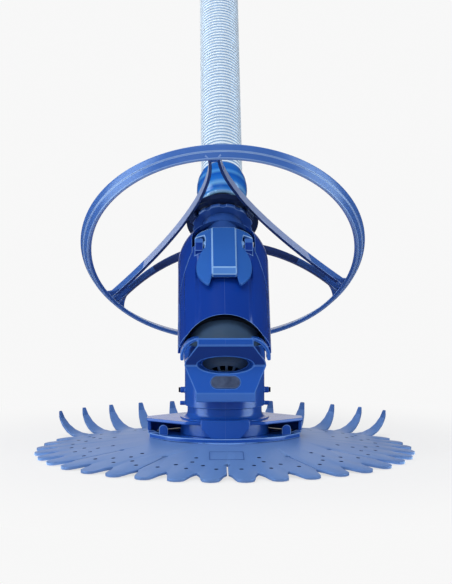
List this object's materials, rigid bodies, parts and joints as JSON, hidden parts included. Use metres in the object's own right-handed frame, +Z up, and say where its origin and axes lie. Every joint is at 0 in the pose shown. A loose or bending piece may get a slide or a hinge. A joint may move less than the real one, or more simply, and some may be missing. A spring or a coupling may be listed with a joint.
{
  "type": "pool cleaner",
  "caption": "Suction pool cleaner: flexible finned disc on a soft foot, leaning body with swing handle and removable cover, spinning deflector wheel and ribbed hose.",
  "frame": {"origin": "on the floor, at the centre of the suction mouth in the foot's sole, on the axis of the disc", "axes": "+Z up, -Y towards the front that carries the chin, the cover and the handle, +X to the right in the front view; the body, wheel and hose lean back towards +Y"},
  "size_m": [0.4284, 0.7081, 0.6039],
  "materials": {
    "pad_rubber": "matt soft rubber",
    "disc_rubber": "satin flexible moulding, periwinkle blue",
    "foot_blue": "glossy moulded plastic, mid blue",
    "badge_dark": "dark glossy insert",
    "body_navy": "glossy moulded plastic, deep blue",
    "cassette_smoke": "smoky grey-blue plastic",
    "pipe_grey": "dark grey-blue plastic",
    "wheel_blue": "satin moulded plastic, slate blue",
    "pin_steel": "plain steel",
    "cuff_blue": "clear bright blue soft plastic",
    "hose_pale": "pale blue corrugated hose"
  },
  "bodies": {
    "foot": {"foot_pad": "pad_rubber", "base_flange": "foot_blue", "foot_collar": "foot_blue", "pad_clip_left": "foot_blue", "pad_clip_right": "foot_blue", "throat": "foot_blue", "chin_cowl": "foot_blue", "badge_plate": "badge_dark", "side_screws": "badge_dark", "body_shell": "body_navy", "cassette_lower": "cassette_smoke", "compression_ring": "pad_rubber", "cassette_upper": "cassette_smoke", "diaphragm": "pad_rubber", "diaphragm_ring": "cassette_smoke", "inner_extension_pipe": "pipe_grey", "hand_nut": "body_navy", "wheel_bush": "pipe_grey"},
    "disc": {"finned_disc": "disc_rubber"},
    "cover": {"front_cover": "body_navy", "handle_pin": "pin_steel"},
    "handle": {"release_handle": "foot_blue"},
    "wheel": {"deflector_wheel": "wheel_blue"},
    "hose_line": {"outer_extension_pipe": "pipe_grey", "stop_ring": "pipe_grey", "hose_cuff_lower": "cuff_blue", "hose": "hose_pale", "hose_cuff_upper": "cuff_blue"}
  },
  "joints": [
    {"name": "disc_spin", "type": "hinge", "parent": "foot", "child": "disc", "pos_m": [0, 0, 0.02], "axis": [0, 0, 1], "continuous": true},
    {"name": "wheel_spin", "type": "hinge", "parent": "foot", "child": "wheel", "pos_m": [0, 0.14849, 0.25849], "axis": [0, 0.7071, 0.7071], "continuous": true},
    {"name": "hose_swivel", "type": "hinge", "parent": "foot", "child": "hose_line", "pos_m": [0, 0.13435, 0.24435], "axis": [0, 0.7071, 0.7071], "continuous": true},
    {"name": "cover_release", "type": "slide", "parent": "foot", "child": "cover", "axis": [0, -0.7071, 0.7071], "range_m": [0, 0.05]},
    {"name": "handle_lift", "type": "hinge", "parent": "cover", "child": "handle", "pos_m": [0, 0.05657, 0.23304], "axis": [-1, 0, 0], "range_deg": [0, 60]}
  ]
}
